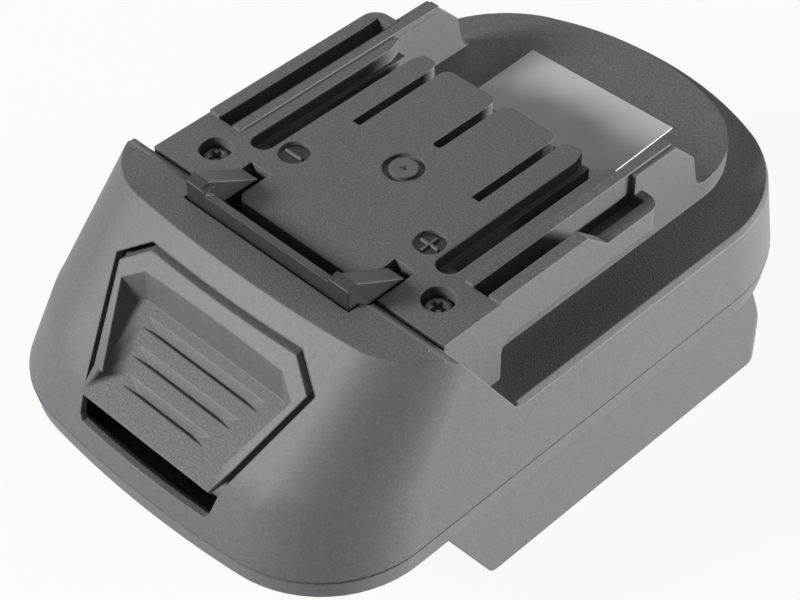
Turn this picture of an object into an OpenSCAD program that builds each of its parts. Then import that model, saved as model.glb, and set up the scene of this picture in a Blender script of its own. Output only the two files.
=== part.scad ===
// Tool battery adapter: the rail block on top slides into a tool, the dock underneath takes a pack.
// Millimetres. X runs across, Y from the button end to the rounded end, Z up.
// The origin lies below the middle of the body, on the plane the dock stands on.

/* [Pieces] */
// Every separate piece
// Piece to draw, or all

/* [Body] */
// Overall length, along the parting line
body_l = 126.4; // [112:0.1:140]
// Overall width, along the parting line
body_w = 79.7; // [72:0.1:90]
// Wall of both housings
wall_t = 2.4; // [1.8:0.1:3.2]
// Radius of the bowed front edge in plan
front_bow_r = 190; // [140:1:260]
// Radius of the two front corners in plan
front_corner_r = 20.5; // [14:0.5:24]
// Radius of the bowed rear edge in plan
rear_bow_r = 61; // [54:1:80]
// Radius of the two rear corners in plan
rear_corner_r = 25.5; // [18:0.5:30]
// Side wall from the parting line up to the shelf
side_h = 12.3; // [10:0.1:18]
// Narrowing of each side over that height
side_draft = 2.1; // [1:0.1:3]
// Leaning back of the front over that height
front_draft = 5.5; // [4:0.1:7]
// Leaning in of the rear over that height
rear_draft = 1; // [0.5:0.1:2]
// Rim below the parting line
rim_h = 4.1; // [3.4:0.1:5]
// Inset of the rim at its lower edge
rim_in = 0.45; // [0.2:0.05:0.8]
// Floor of the base
floor_t = 2.4; // [2.2:0.1:3]
// Height of the shadow line along the parting line
seam_h = 0.3; // [0.2:0.1:0.8]
// Depth of that shadow line
seam_d = 0.3; // [0.2:0.1:0.8]
// Chamfer along the outer edge of the shelf
edge_step = 0.8; // [0.3:0.1:1]
// Height of that chamfer
edge_h = 0.8; // [0.3:0.1:1]

/* [Nose] */
// Front of the body to the front edge of the deck
nose_l = 35; // [33:0.1:40]
// Rise of the brow above the deck
brow_h = 1.5; // [1:0.1:2.5]
// Ridge of the brow to the front edge of the deck
ridge_y = 11.7; // [10:0.1:14]
// Radius of the ridge in plan
ridge_bow_r = 250; // [150:5:400]
// Radius of the ridge ends in plan
ridge_corner_r = 13.6; // [10:0.1:18]
// Growth of that radius for each millimetre down the slope
corner_grow = 0.215; // [0:0.005:0.3]
// Lean of the front slope from upright, degrees
slope_a = 41.8; // [35:0.1:48]
// Lean of the shoulder sides, degrees
side_lean = 5.5; // [5.5:0.1:8]
// Top of the shoulder before the front edge of the deck
shoulder_top = 1.8; // [1:0.1:3]
// Foot of the shoulder behind the front edge of the deck
shoulder_foot = 10; // [8:0.1:12]
// Radius of the hollow behind the brow
brow_r = 3.6; // [3:0.1:5]
// Rounding at the top of the shoulders
shoulder_r = 6; // [3:0.5:8]
// Step at the front edge of the deck
deck_step = 0.3; // [0.1:0.1:0.6]

/* [Rail block] */
// Width across the rails
rail_w = 64; // [60:0.1:66]
// Deck above the shelf
deck_h = 16.2; // [14:0.1:20]
// Length of the full-height front block
rail_front_l = 12.7; // [11:0.1:15]
// Length of the rails
rail_l = 50; // [44:0.5:52]
// Length of the deck tongues
deck_l = 47; // [42:0.5:50]
// Width of the core between the undercuts
core_w = 55.2; // [52:0.1:57]
// Underside of the rail below the deck
lip_drop = 8.4; // [7.5:0.1:9]
// Radius in the front corner of the undercut
undercut_r = 2.6; // [1.5:0.1:4]
// Thickness of the outer rail wall
rail_wall = 2.3; // [1.8:0.1:3]
// Rise of that wall above the deck
rail_rise = 0.5; // [0.3:0.1:1]
// Start of that wall
rail_wall_y = 12; // [11:0.1:14]
// Start of the ramp on the wall
ramp_y = 31.7; // [28:0.1:36]
// Length of the ramp
ramp_l = 5; // [4:0.1:8]
// Low part of the wall below the deck
low_drop = 3.8; // [3:0.1:5]
// Outer slot width
slot_w = 3.1; // [2.5:0.1:3.4]
// Outer slot depth
slot_d = 6.4; // [5:0.1:6.6]
// Wall that closes the outer slot at its rear
slot_end_t = 1.8; // [1.4:0.1:3]
// Radius of the rear rail corner
rail_corner_r = 3; // [1:0.1:3.2]
// Thickness of a fin
fin_t = 2.4; // [2:0.1:3]
// Level part of the fin, to its slope
fin_y = 58; // [54:0.1:62]
// Length and drop of the fin slope
fin_slope = 5.2; // [4:0.1:7]
// Rear face of the fin
fin_end_y = 64.4; // [63.5:0.1:68]
// Radius at the foot of the fin
fin_foot_r = 2.4; // [1:0.1:3]
// Label platform above the shelf
platform_h = 3.5; // [2.5:0.1:6]
// Inset of the platform from the rear end of the body
platform_in = 4.8; // [4:0.1:8]
// Radius of the platform rear in plan
platform_bow_r = 46; // [40:1:60]
// Radius of the platform corners in plan
platform_corner_r = 18; // [12:0.5:22]

/* [Deck] */
// Terminal recess off the middle
term_x = 20.5; // [19:0.1:21]
// Terminal recess width
term_w = 4.4; // [4:0.1:5]
// Terminal recess depth to its ledges
term_d = 2.7; // [2:0.1:3]
// Front of the terminal recess
term_y = 11; // [10:0.1:13]
// Width of the deep slot
deep_w = 2.8; // [2.6:0.1:3.4]
// Front of the deep slot
deep_y = 15; // [14:0.1:17]
// Depth of the deep slot in the rear face
deep_d = 10.6; // [9:0.1:11]
// Flare at the rear of the recess
flare_w = 0.9; // [0.5:0.1:1.2]
// Outer groove off the middle
groove_x = 13.2; // [12.8:0.1:13.4]
// Groove width
groove_w = 1.8; // [1.4:0.1:2]
// Groove depth
groove_d = 2.5; // [1.5:0.1:2.8]
// Front of the outer grooves
groove_y = 26.6; // [24:0.1:32]
// Front of the middle groove
mid_groove_y = 31.4; // [28:0.1:36]
// Radius on the tongue ends
tongue_r = 1.9; // [1:0.1:2]
// Pad on the strip beside the rail
pad_h = 0.4; // [0.2:0.1:0.6]
// Width of that pad
pad_w = 1.75; // [1.2:0.05:2]
// Polarity disc off the middle
disc_x = 15; // [14.6:0.1:15.2]
// Polarity disc behind the deck edge
disc_y = 14.6; // [13:0.1:17]
// Polarity disc radius
disc_r = 2.7; // [2.3:0.1:2.8]
// Depth of the shallow round recesses
disc_d = 0.7; // [0.3:0.1:0.9]
// Gate mark behind the deck edge
gate_y = 24.2; // [22:0.1:26]
// Gate mark radius
gate_r = 3.5; // [3:0.1:4]
// Radius of the disc in the gate mark
gate_disc_r = 2.4; // [2:0.1:2.6]
// Thickness of the deck
deck_t = 5; // [4.2:0.1:6]

/* [Latch] */
// Travel of the button and hook
travel = 3.5; // [2:0.1:3.6]
// Half width of the hook
hook_hw = 17.8; // [16:0.1:18.2]
// Width of a hook arm
arm_w = 3.3; // [3:0.1:4.2]
// Front face of the hook before the deck edge
hook_front = 5.5; // [5:0.1:6]
// Thickness of the cross bar
bar_t = 2; // [1.8:0.1:3]
// Front top edge of the bar above the deck
bar_h = 4.4; // [3.5:0.1:4.6]
// Front top edge of the arms above the deck
arm_front_h = 4.9; // [4.6:0.1:5.4]
// Crest of the arms above the deck
arm_h = 5.7; // [5.5:0.1:6.5]
// Crest of the arms behind the hook front
crest_y = 1.6; // [1:0.1:2]
// Place where the arms dip below the deck
arm_dip_y = 6.1; // [5.5:0.1:6.5]
// Rear end of the arms
arm_end_y = 6.7; // [6.6:0.1:7.7]
// Depth of the arm tips
arm_tip_d = 4; // [3:0.1:4.5]
// Clearance round the hook in the deck
hook_gap = 0.4; // [0.3:0.05:0.6]
// Extra clearance on the inner side of the arms
arm_gap = 0.75; // [0.4:0.05:0.8]
// Room behind the arm tips
hole_room = 1.6; // [0.4:0.1:2]
// Width of the end blocks of the cross bar inside the arms
bar_end = 1; // [0.5:0.1:1.5]
// Front edge of the deck plate between the arms
plate_y = 0.8; // [0.4:0.1:1.5]
// Chamfer on the corners of that plate
plate_c = 1.3; // [0.5:0.1:2]
// Depth of the well under the hook
well_d = 12; // [11.5:0.1:13]
// Underside of the carrier below the deck
carrier_d = 12; // [11:0.1:13]
// Thickness of the carrier plates
carrier_t = 2.5; // [2:0.1:3]
// Gap between the carrier and the back of the button
carrier_gap = 0.7; // [0.5:0.05:0.9]
// Thickness of the carrier upright
upright_t = 2; // [1.6:0.1:2.4]
// Reach of the upright beside the button screws
upright_reach = 4; // [3:0.1:5]
// Lower end of the carrier upright below the deck
upright_d = 20; // [18:0.1:21]

/* [Button] */
// Half width of the opening at its top edge
open_top_hw = 16.6; // [15:0.1:18]
// Half width of the opening at its widest
open_wide_hw = 22.2; // [20:0.1:23]
// Half width of the opening above its pocket
open_low_hw = 15.6; // [14.5:0.1:17]
// Half width of the pocket at its bottom
open_end_hw = 14.9; // [14.6:0.1:15.5]
// Chamfer on the bottom corners of the pocket
open_end_c = 0.9; // [0.4:0.1:1.4]
// Top edge of the opening below the deck
open_top_d = 1.6; // [1:0.1:2]
// Widest place of the opening below the deck
open_wide_d = 5.4; // [4.4:0.1:6]
// Start of the pocket below the deck
open_low_d = 20.3; // [19:0.1:21]
// Bottom of the pocket below the deck
open_end_d = 25.4; // [25:0.1:26]
// Gap above the button
button_top_gap = 0.9; // [0.6:0.05:1]
// Gap beside the button
button_gap = 1.05; // [1.05:0.05:1.2]
// Lower edge of the button below the deck
button_end_d = 21.1; // [20.5:0.1:21.5]
// Narrowing of the button at its lower edge
button_end_gap = 0.6; // [0.5:0.05:0.8]
// Toe of the button before the deck edge
toe_y = 32.3; // [31.4:0.1:32.6]
// Set back of the lower edge of the toe
toe_back = 0.8; // [0.4:0.1:1.5]
// Thickness of the button
button_t = 6.6; // [6:0.1:7]
// Thickness of the housing lip round the button
lip_t = 1.3; // [1:0.1:1.35]
// Clearance between the lip and the flange behind it
flange_gap = 0.3; // [0.25:0.05:0.4]
// Flange thickness
flange_t = 1.8; // [1.4:0.1:2.2]
// Flange reach beside the opening
flange_w = 1.2; // [0.8:0.1:1.6]
// Lower end of the skirt behind the pocket, below the deck
skirt_d = 26; // [25:0.1:26.2]
// Thickness of the skirt
skirt_t = 1.6; // [1.2:0.1:2]
// Room beside the flange in the housing
flange_room = 3; // [2.4:0.1:4]
// Half width of the scoop at its top
scoop_top_hw = 16.4; // [14:0.1:16.6]
// Half width of the scoop at its widest
scoop_wide_hw = 19.7; // [17:0.1:19.8]
// Half width of the scoop at its lower end
scoop_low_hw = 13.4; // [11:0.1:13.6]
// Top of the scoop below the deck
scoop_top_d = 3.8; // [3.6:0.1:4.5]
// Widest place of the scoop below the deck
scoop_wide_d = 5.9; // [5.6:0.1:7]
// Foot of the scoop wall below the deck
scoop_foot_d = 11; // [9:0.1:12]
// Lower end of the scoop below the deck
scoop_low_d = 18.2; // [17:0.1:18.5]
// Scoop wall before the deck edge
scoop_wall_y = 17; // [16.6:0.1:18]
// Lower end of the scoop before the deck edge
scoop_low_y = 29.4; // [28:0.1:30]
// Chamfer on the corners of the scoop wall
scoop_corner = 2.2; // [1:0.1:4]
// Number of grip grooves
grip_count = 3; // [2:1:4]
// First grip groove along the scoop floor
grip_start = 3.8; // [3:0.1:5]
// Spacing of the grip grooves
grip_pitch = 4.5; // [3:0.1:5]
// Depth of a grip groove
grip_d = 0.9; // [0.5:0.1:1.2]
// Width of a grip groove
grip_w = 1.9; // [1.5:0.1:3]
// Half length of the first grip groove
grip_hw = 13; // [10:0.1:14]
// Shortening of each further groove
grip_taper = 1.9; // [0:0.1:2]
// Run of the steep side of a groove
grip_steep = 0.25; // [0.1:0.05:0.5]
// Run of the sloped ends of a groove
grip_end = 3.6; // [1:0.1:5]
// Button post off the middle
post_x = 12.3; // [12.2:0.1:12.6]
// Button post below the deck
post_d = 15.5; // [14:0.1:16.5]
// Button post radius
post_r = 3; // [2.6:0.1:3.4]

/* [Springs] */
// Spring off the middle
spring_x = 6.5; // [5:0.1:6.6]
// Room between the springs and the carrier upright
spring_room = 0.35; // [0.3:0.05:0.6]
// Mean radius of the coil
spring_r = 3; // [2.4:0.1:3.2]
// Radius of the wire
wire_r = 0.35; // [0.25:0.05:0.4]
// Turns of the coil
spring_turns = 8; // [5:1:10]
// Clearance at the spring ends
spring_gap = 0.05; // [0.02:0.01:0.1]
// Height of the pegs inside the springs
peg_h = 4; // [2:0.5:6]
// Clearance between peg and coil
peg_gap = 0.4; // [0.3:0.1:0.6]

/* [Dock] */
// Height of the dock below the rim
dock_h = 20.5; // [18:0.1:24]
// Width of the dock
dock_w = 74.6; // [70:0.1:77]
// Thickness of the dock side walls
dock_t = 4; // [3:0.1:5]
// Thickness of the dock rear wall
dock_rear_t = 3.6; // [3:0.1:5]
// Front edge of the dock at the rim, before the deck edge
dock_front = 6.2; // [4:0.1:8]
// Front edge of the dock at its foot, behind the deck edge
dock_foot_front = 6.7; // [5:0.1:9]
// Inset of the dock at the rim from the rear end of the body
dock_rear_in = 21; // [16:0.1:22]
// Inset of the dock at its foot from the rear end of the body
dock_foot_in = 13.1; // [10:0.1:15]
// Radius of the front foot corner
dock_front_r = 2.5; // [1.5:0.1:4]
// Radius of the rear foot corner
dock_rear_r = 4; // [3:0.1:8]
// Radius of the upright rear corners
dock_corner_r = 4; // [3:0.1:8]
// Width of the guide rails in the dock
guide_w = 4; // [3:0.1:5]
// Height of the guide rails
guide_h = 4; // [3:0.1:5]
// Underside of the guide rails above the foot
guide_z = 3; // [2:0.1:4]
// Front of the guide rails behind the deck edge
guide_y = 14; // [12:0.1:20]
// Lip of the base inside the upper housing
base_lip_h = 2.4; // [1.6:0.1:2.6]
// Thickness of that lip
base_lip_t = 1.6; // [1.2:0.1:2]
// Clearance between the lip and the upper housing
lip_fit = 0.15; // [0.1:0.05:0.25]

/* [Terminals] */
// Blade gap of a clip
clip_gap = 0.9; // [0.7:0.1:1.1]
// Sheet thickness of a clip
clip_t = 0.6; // [0.5:0.05:0.7]
// Front of the clips behind the deck edge
clip_y = 15.6; // [15.3:0.1:17]
// Length of the clips
clip_l = 14; // [12:0.5:15]
// Top of the clip leaves below the deck
clip_top_d = 5; // [4:0.1:6]
// Foot of the clips below the deck
clip_foot_d = 13.8; // [13:0.1:14.2]
// Half width of the clip foot
clip_foot_hw = 3; // [2.4:0.1:3.4]
// Length of the flared ends of the leaves
flare_l = 3; // [2:0.1:4]
// Flare of the clip leaves, degrees
clip_flare = 4; // [2:0.5:6]
// Radius of the lead
lead_r = 1; // [0.8:0.05:1.2]
// Wall of the crimp barrel
barrel_t = 0.5; // [0.4:0.05:0.6]
// Length of the crimp barrel
barrel_l = 4; // [3:0.1:5]
// Bend radius of the leads
lead_bend = 3.2; // [2.6:0.1:4]
// Thinning of the lead where it bends
bend_thin = 0.06; // [0.04:0.01:0.1]
// Overlap of the straight runs and the bend
bend_lap = 0.3; // [0.2:0.05:0.4]
// Insulating bar, front behind the deck edge
holder_y = 13; // [12:0.1:14]
// Insulating bar length
holder_l = 20; // [18:0.1:22]
// Insulating bar thickness
holder_t = 2.6; // [2:0.1:3]
// Half width of the insulating bar
holder_hw = 24.2; // [23.6:0.1:24.3]
// Clearance between the bar and the walls beside it
holder_gap = 0.4; // [0.3:0.05:0.6]
// Clearance before the front of the bar
holder_room = 1.4; // [1:0.1:2]
// Thickness of the cheeks beside the clips
cheek_t = 1.25; // [1:0.05:1.4]
// Height of the cheeks
cheek_h = 2; // [1.5:0.1:2.5]
// Clearance between cheeks and clips
cheek_gap = 0.2; // [0.15:0.05:0.3]
// Radius of the bosses that carry it
holder_boss_r = 3; // [2.6:0.1:3.4]
// Boss places behind the deck edge
holder_boss_y = [17, 29];

/* [Board] */
// Board width
board_w = 46; // [42:0.5:48]
// Board front behind the deck edge
board_y = 14; // [13:0.5:16]
// Board length
board_l = 42; // [38:0.5:43]
// Board thickness
board_t = 1.6; // [1.2:0.1:2]
// Height of the board standoffs
standoff_h = 3.8; // [3:0.1:5]
// Depth of the screw holes in the standoffs
standoff_bore = 3.2; // [3:0.1:4]
// Standoff radius
standoff_r = 3; // [2.5:0.1:3.5]
// Standoff off the middle
standoff_x = 20; // [19.6:0.1:20.4]
// Standoff inset from the board ends
standoff_in = 4; // [3.5:0.1:6]

/* [Pack contacts] */
// Half width of the terminal block
block_hw = 14; // [13:0.1:14.4]
// Front of the terminal block behind the deck edge
block_y = 38; // [36:0.1:40]
// Length of the terminal block
block_l = 20; // [16:0.1:24]
// Least room between the terminal block and the rear wall of the dock
block_room = 1; // [0.5:0.1:2]
// Underside of the terminal block above the foot
block_z = 9; // [8:0.1:11]
// Collar round the top of the block
collar_w = 2.2; // [1.5:0.1:2.4]
// Height of that collar
collar_h = 2; // [1.5:0.1:2.5]
// Clearance of the block in its window
block_fit = 0.15; // [0.1:0.05:0.3]
// Blade thickness
blade_t = 0.8; // [0.6:0.05:1]
// Reach of the blades before the block
blade_reach = 16; // [12:0.5:18]
// Blade height
blade_h = 6; // [5:0.1:7]
// Underside of the blades above the foot
blade_z = 11.4; // [11:0.1:12]
// Power blades off the middle
power_x = 10.5; // [9:0.1:12]
// Signal blades off the middle
signal_x = 3.6; // [3:0.1:4.5]
// Depth of the blades in the block
blade_in = 8; // [6:0.1:10]
// Tails behind the front of the block
tail_y = 4; // [3:0.1:5]
// Length of the blade tails
tail_l = 3; // [2:0.1:4]
// Tails above the board
tail_h = 1.2; // [0.8:0.1:1.6]
// Slip fit of metal in plastic
slip = 0.05; // [0.02:0.01:0.1]

/* [Components] */
// Power package width
pack_w = 10; // [8:0.1:11]
// Power package length
pack_l = 9; // [8:0.1:10]
// Power package height
pack_h = 4.2; // [3:0.1:4.6]
// Length of its metal tab
tab_l = 6; // [4:0.1:7]
// Thickness of the tab
tab_t = 1.3; // [1:0.1:1.6]
// Space below the packages
pack_lift = 0.2; // [0.1:0.05:0.3]
// Power package off the middle
pack_x = 7; // [6:0.1:8]
// Power package behind the board front
pack_y = 5; // [4:0.1:6]
// Pitch of the legs
leg_pitch = 2.5; // [2:0.1:3]
// Width of a leg
leg_w = 0.8; // [0.5:0.1:1]
// Thickness of a leg
leg_t = 0.5; // [0.4:0.05:0.6]
// Length of a leg
leg_l = 3; // [2:0.1:4]
// Height of the legs at the package
leg_z = 2; // [1.5:0.1:2.5]
// Capacitor radius
can_r = 4; // [3:0.1:4.4]
// Capacitor height
can_h = 8.6; // [6:0.1:9]
// Rounding of the can and depth of its bead
can_edge = 0.4; // [0.2:0.05:0.5]
// Bead above the board
bead_z = 1.5; // [1:0.1:2]
// Capacitor before the rear edge of the board
can_in = 6; // [5:0.1:8]
// Control chip width
chip_w = 5; // [4:0.1:6]
// Control chip length
chip_l = 6; // [5:0.1:7]
// Control chip height
chip_h = 1.5; // [1:0.1:2]
// Control chip off the middle
chip_x = 12.4; // [11:0.1:13]
// Control chip before the rear edge of the board
chip_in = 9; // [8:0.1:10]
// Chip pins on each side
pin_count = 4; // [3:1:5]
// Pitch of the pins
pin_pitch = 1.3; // [1:0.05:1.4]
// Width of a pin
pin_w = 0.5; // [0.3:0.05:0.6]
// Thickness of a pin
pin_t = 0.25; // [0.2:0.05:0.35]
// Reach of the pins
pin_l = 1; // [0.8:0.1:1.2]
// Height of the pins at the chip
pin_z = 0.7; // [0.5:0.1:0.9]

/* [Screws] */
// Screw head radius
head_r = 2.5; // [2.3:0.05:2.6]
// Screw head height
head_h = 1.8; // [1.5:0.1:2]
// Shank radius
shank_r = 1.45; // [1.2:0.05:1.5]
// Clearance round the heads
head_gap = 0.3; // [0.2:0.05:0.4]
// Clearance round the shanks in through holes
shank_gap = 0.2; // [0.1:0.05:0.3]
// Boss radius
boss_r = 4; // [3.6:0.1:4.2]
// Radius of the pillars under the deck screws
pillar_r = 3.6; // [3:0.1:4]
// Gap between the bosses of the two housings
boss_gap = 0.2; // [0.1:0.05:0.3]
// Screw bite in its boss
bite = 8; // [6:0.5:10]
// Space left under the screw tips
tip_gap = 1.5; // [1:0.1:2]
// Deck screw off the middle
deck_screw_x = 24.6; // [24:0.1:25]
// Deck screw behind the deck edge
deck_screw_y = 6.5; // [6:0.1:7]
// Depth of the deck screw recess
deck_screw_d = 3.4; // [3:0.1:5]
// Front housing screw off the middle
front_screw_x = 29; // [28.6:0.1:29.4]
// Front housing screw before the deck edge
front_screw_y = 12; // [11:0.1:13]
// Rear housing screw off the middle
rear_screw_x = 22.5; // [21.5:0.1:23]
// Rear housing screw behind the deck edge
rear_screw_y = 63; // [62:0.1:64]
// Small screw head radius
small_head_r = 1.9; // [1.7:0.05:2.1]
// Small screw head height
small_head_h = 1.3; // [1:0.1:1.5]
// Small screw shank radius
small_r = 1; // [0.8:0.05:1.1]

/* [Label] */
// Label width
label_w = 31; // [26:0.5:34]
// Label length
label_l = 23.5; // [16:0.5:24]
// Label thickness
label_t = 0.3; // [0.2:0.1:0.4]
// Front edge of the label behind the deck tongues
label_gap = 2.7; // [2:0.1:4]
// Turn of the label, degrees
label_turn = 1.6; // [-2:0.1:2]

/* [Hidden] */
$fn = 64;
eps = 0.02;
far = 90;
thin = 0.01;
bow_n = 16;
corner_n = 14;
deck_y = nose_l - body_l / 2;
rear_l = body_l - nose_l;
rim_z = dock_h;
floor_z = rim_z + floor_t;
part_z = rim_z + rim_h;
shelf_z = part_z + side_h;
deck_z = shelf_z + deck_h;
brow_z = deck_z + brow_h;
platform_z = shelf_z + platform_h;
inner_z = shelf_z - wall_t;
roof_z = brow_z - wall_t;
lip_z = deck_z - lip_drop;
slot_x1 = rail_w / 2 - rail_wall;
slot_x0 = slot_x1 - slot_w;
rail_end = deck_y + rail_l;
deck_end = deck_y + deck_l;
platform_y = rear_l - platform_in;
dock_rear = rear_l - dock_rear_in;
dock_foot_rear = rear_l - dock_foot_in;
block_front = min(block_y, dock_rear - dock_rear_t - block_room - block_l);
taper_y = body_l * front_draft / (front_draft + rear_draft) - body_l / 2;
ridge_hw = body_w / 2 - side_draft - (brow_z - shelf_z) * tan(side_lean);
relief_hw = open_wide_hw + flange_room;
cavity_hw = holder_hw + holder_gap;
cavity_y0 = deck_y + holder_y - holder_room;
cavity_y1 = deck_end - wall_t;
board_z = floor_z + standoff_h;
board_top = board_z + board_t;
holder_z = deck_z - clip_foot_d - holder_t;
carrier_z = deck_z - carrier_d;
carrier_drop = brow_h + carrier_d - carrier_t;
carrier_front = ridge_y + carrier_drop * tan(slope_a) - button_t / cos(slope_a) - carrier_gap;
floor_fall = (scoop_low_d - scoop_foot_d) / (scoop_low_y - scoop_wall_y);
spring_y = carrier_front - upright_t - spring_room - spring_r - wire_r;
carrier_rear = spring_r + wire_r + spring_room - spring_y;
lead_z = deck_z - clip_foot_d + lead_r + barrel_t;
lead_y = deck_y + clip_y + clip_l + barrel_l;
plastic = "#4a4b4d";
black = "#1c1c1e";
metal = "#c9c7bf";
brass = "#c8a860";
green = "#2f5a3c";

function arc(cx, cy, r, a0, a1, n) =
  [for (i = [0:n]) [cx + r * cos(a0 + (a1 - a0) * i / n), cy + r * sin(a0 + (a1 - a0) * i / n)]];

function mid_y(edge, bow, r, hw, s) = edge + s * (bow - sqrt(pow(bow - r, 2) - pow(hw - r, 2)));

// closed outline with bowed ends and four tangent corners
module bowed_plan(hw, y0, y1, bow0, r0, bow1, r1) {
  cy0 = mid_y(y0, bow0, r0, hw, 1);
  cy1 = mid_y(y1, bow1, r1, hw, -1);
  a0 = atan2(cy0 - y0 - bow0, hw - r0);
  a1 = atan2(cy1 - y1 + bow1, hw - r1);
  polygon(concat(
    arc(0, y0 + bow0, bow0, -180 - a0, a0, bow_n),
    arc(hw - r0, cy0, r0, a0, 0, corner_n),
    arc(hw - r1, cy1, r1, 0, a1, corner_n),
    arc(0, y1 - bow1, bow1, a1, 180 - a1, bow_n),
    arc(r1 - hw, cy1, r1, 180 - a1, 180, corner_n),
    arc(r0 - hw, cy0, r0, 180, 180 - a0, corner_n)
  ));
}

module body_plan(d) {
  bowed_plan(body_w / 2 - d, d - body_l / 2, body_l / 2 - d, front_bow_r - d, front_corner_r - d,
    rear_bow_r - d, rear_corner_r - d);
}

// plan size at a level, as the walls lean in from the parting line up
function size_at(z) = let(up = (z - part_z) / side_h)
  [1 - up * 2 * side_draft / body_w, 1 - up * (front_draft + rear_draft) / body_l];

// body between two levels, inset by d at its lower and by d + e at its upper level
module slab(z0, z1, d, e = 0) {
  low = size_at(z0);
  high = size_at(z1);
  shrink = [1 - 2 * e / body_w, 1 - 2 * e / body_l];
  translate([0, taper_y, z0])
    linear_extrude(z1 - z0, scale = [high[0] * shrink[0] / low[0], high[1] * shrink[1] / low[1]], slices = 1)
      scale(low) translate([0, -taper_y]) body_plan(d);
}

module rim_form() {
  foot = 1 - 2 * rim_in / body_w;
  translate([0, 0, rim_z]) linear_extrude(rim_h - seam_h, scale = 1 / foot) scale(foot) body_plan(0);
}

module box(x0, x1, y0, y1, z0, z1) {
  translate([x0, y0, z0]) cube([x1 - x0, y1 - y0, z1 - z0]);
}

// side view in Y and Z drawn out along X
module side_view(pts, x0, x1) {
  translate([x0, 0, 0]) rotate([90, 0, 90]) linear_extrude(x1 - x0) polygon(pts);
}

// front view in X and Z drawn out along Y
module front_view(pts, y0, y1) {
  translate([0, y1, 0]) rotate([90, 0, 0]) linear_extrude(y1 - y0) polygon(pts);
}

module pillar(x, y, z0, z1, r) {
  translate([x, y, z0]) cylinder(h = z1 - z0, r = r);
}

// what rounding an upright corner takes away
module corner_waste(x, y, sx, sy, r, z0, z1) {
  translate([x - sx * r, y - sy * r, z0]) linear_extrude(z1 - z0) difference() {
    translate([sx > 0 ? 0 : -r - 1, sy > 0 ? 0 : -r - 1]) square(r + 1);
    circle(r);
  }
}

module both_sides() {
  children();
  mirror([1, 0, 0]) children();
}

// brow level and the same outline carried down the slope
module slope_plan(z, d, flare) {
  drop = brow_z - z;
  front = deck_y - ridge_y - drop * tan(slope_a);
  bowed_plan(ridge_hw + drop * tan(side_lean) + flare - d, front + d / cos(slope_a), body_l,
    ridge_bow_r - d, ridge_corner_r + drop * corner_grow - d, far * 4, wall_t);
}

// slope from a level down to the rim, where its sides stand out further by the flare
module slope_form(d, top = brow_z, flare = 0) {
  hull() {
    translate([0, 0, top]) linear_extrude(thin) slope_plan(top, d, 0);
    translate([0, 0, rim_z]) linear_extrude(thin) slope_plan(rim_z, d, flare);
  }
}

module nose_form(d, top) {
  intersection() {
    slab(rim_z + 1, top, d);
    slope_form(d);
  }
}

// nose seen from the side; the shoulders beside the deck are rounded at the top
module nose_profile() {
  fall = atan2(brow_z - shelf_z, shoulder_foot + shoulder_top);
  round_in = shoulder_r * tan(fall / 2);
  side_view([
    [-far, part_z], [-far, brow_z], [deck_y - shoulder_top, brow_z],
    [deck_y + shoulder_foot, shelf_z], [deck_y + shoulder_foot, part_z]
  ], -rail_w / 2, rail_w / 2);
  both_sides() side_view(concat(
    [[deck_y + shoulder_foot, shelf_z], [deck_y + shoulder_foot, part_z], [-far, part_z], [-far, brow_z]],
    arc(deck_y - shoulder_top - round_in, brow_z - shoulder_r, shoulder_r, 90, 90 - fall, corner_n)
  ), rail_w / 2 - eps, body_w);
}

// rail with its outer wall; the wall on the plus side steps down behind a ramp
module rail_flange(ramped) {
  low = ramped ? low_drop : -rail_rise;
  side_view(concat(
    [[deck_y + rail_front_l - undercut_r, shelf_z], [deck_y + rail_front_l, shelf_z]],
    arc(deck_y + rail_front_l + undercut_r, lip_z - undercut_r, undercut_r, 180, 90, corner_n),
    [
      [rail_end, lip_z], [rail_end, deck_z - low]
    ],
    ramped ? [[deck_y + ramp_y + ramp_l, deck_z - low], [deck_y + ramp_y, deck_z + rail_rise]] : [],
    [
      [deck_y + rail_wall_y, deck_z + rail_rise], [deck_y + rail_wall_y, deck_z - eps],
      [deck_y + rail_front_l - undercut_r, deck_z - eps]
    ]
  ), slot_x0 - eps, rail_w / 2);
}

module fin() {
  side_view(concat(
    [[deck_end - slot_w, platform_z - eps], [deck_end - slot_w, deck_z], [deck_y + fin_y, deck_z],
      [deck_y + fin_y + fin_slope, deck_z - fin_slope]],
    arc(deck_y + fin_end_y + fin_foot_r, platform_z + fin_foot_r, fin_foot_r, 180, 270, corner_n),
    [[deck_y + fin_end_y + fin_foot_r, platform_z - eps]]
  ), core_w / 2 - fin_t, core_w / 2);
}

module platform_plan(d) {
  bowed_plan(core_w / 2 - d, deck_end - slot_w, deck_y + platform_y - d, far * 4, 1, platform_bow_r - d,
    platform_corner_r - d);
}

module rail_block() {
  difference() {
    union() {
      box(-rail_w / 2, rail_w / 2, deck_y, deck_y + rail_front_l, shelf_z - eps, deck_z);
      box(-core_w / 2, core_w / 2, deck_y, deck_end, shelf_z - eps, deck_z);
      rail_flange(true);
      mirror([1, 0, 0]) rail_flange(false);
      both_sides() {
        fin();
        box(slot_x0 - pad_w, slot_x0, deck_y + rail_wall_y, deck_y + fin_y, deck_z - 1, deck_z + pad_h);
      }
      translate([0, 0, shelf_z - eps]) linear_extrude(platform_h + eps) platform_plan(0);
    }
    both_sides() {
      box(slot_x0, slot_x1, deck_y + rail_wall_y, rail_end - slot_end_t, deck_z - slot_d, deck_z + 2);
      corner_waste(rail_w / 2, rail_end, 1, 1, rail_corner_r, lip_z - 1, deck_z + rail_rise + 1);
    }
  }
}

module brow_hollow() {
  translate([-body_w / 2, deck_y, deck_z + brow_r - deck_step]) rotate([0, 90, 0])
    cylinder(h = body_w, r = brow_r);
  box(-body_w / 2, body_w / 2, deck_y - eps, deck_y + shoulder_foot, deck_z - deck_step, deck_z + brow_r);
}

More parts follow.
